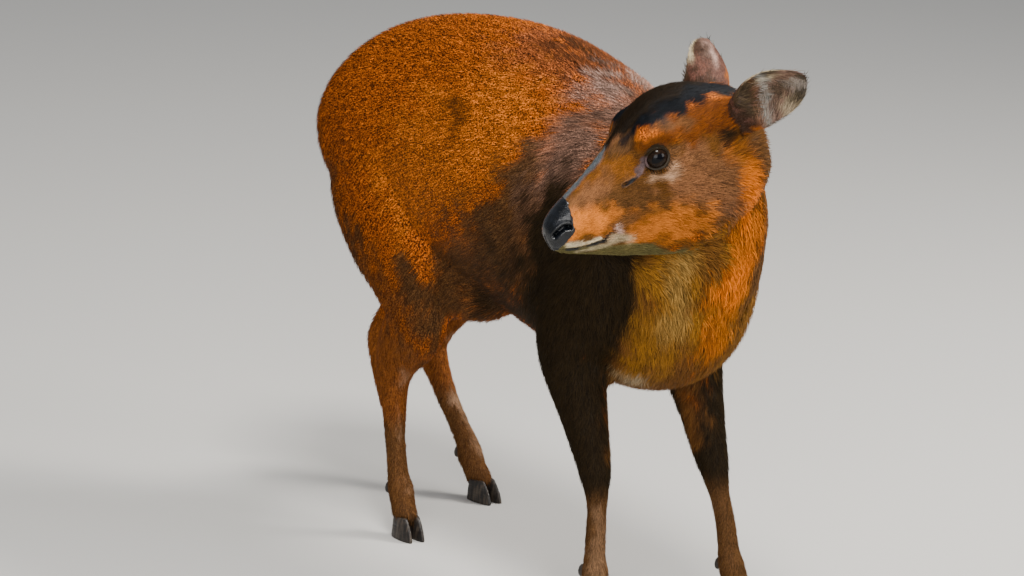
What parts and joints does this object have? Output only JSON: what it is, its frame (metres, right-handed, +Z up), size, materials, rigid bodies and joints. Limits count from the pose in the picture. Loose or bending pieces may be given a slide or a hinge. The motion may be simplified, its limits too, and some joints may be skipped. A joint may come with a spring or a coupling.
{
  "type": "muntjac",
  "caption": "Life-size standing muntjac doe, head turned back over the right shoulder, in a still museum-like pose.",
  "frame": {"origin": "middle of the bounding box on the floor the hooves stand on", "axes": "+X towards the front of the animal, +Y towards its left side, +Z up; the head is turned towards -Y"},
  "size_m": [0.7268, 0.2852, 0.5368],
  "materials": {
    "coat_chestnut": "short matt hair, chestnut with dark ticking",
    "coat_ochre": "short matt hair, ochre and brown",
    "coat_umber": "short matt hair, dark umber",
    "coat_ear": "very short hair over thin skin",
    "eyeball": "wet gloss, nearly black",
    "nose_pad": "moist, finely pebbled, black",
    "horn_black": "worn satin horn"
  },
  "bodies": {
    "root": {"torso": "coat_chestnut", "neck": "coat_ochre", "head": "coat_ochre", "nose": "nose_pad", "tail": "coat_chestnut", "ear_left": "coat_ear", "ear_right": "coat_ear", "eye_left": "eyeball", "eye_right": "eyeball", "foreleg_left": "coat_umber", "foreleg_right": "coat_umber", "forefoot_left": "coat_umber", "forefoot_right": "coat_umber", "hindleg_left": "coat_umber", "hindleg_right": "coat_umber", "hindfoot_left": "coat_umber", "hindfoot_right": "coat_umber", "hoof_fore_right_inner": "horn_black", "hoof_fore_right_outer": "horn_black", "hoof_fore_left_inner": "horn_black", "hoof_fore_left_outer": "horn_black", "hoof_hind_right_inner": "horn_black", "hoof_hind_right_outer": "horn_black", "hoof_hind_left_inner": "horn_black", "hoof_hind_left_outer": "horn_black", "dewclaw_fore_right_inner": "horn_black", "dewclaw_fore_right_outer": "horn_black", "dewclaw_fore_left_inner": "horn_black", "dewclaw_fore_left_outer": "horn_black", "dewclaw_hind_right_inner": "horn_black", "dewclaw_hind_right_outer": "horn_black", "dewclaw_hind_left_inner": "horn_black", "dewclaw_hind_left_outer": "horn_black"}
  },
  "joints": []
}
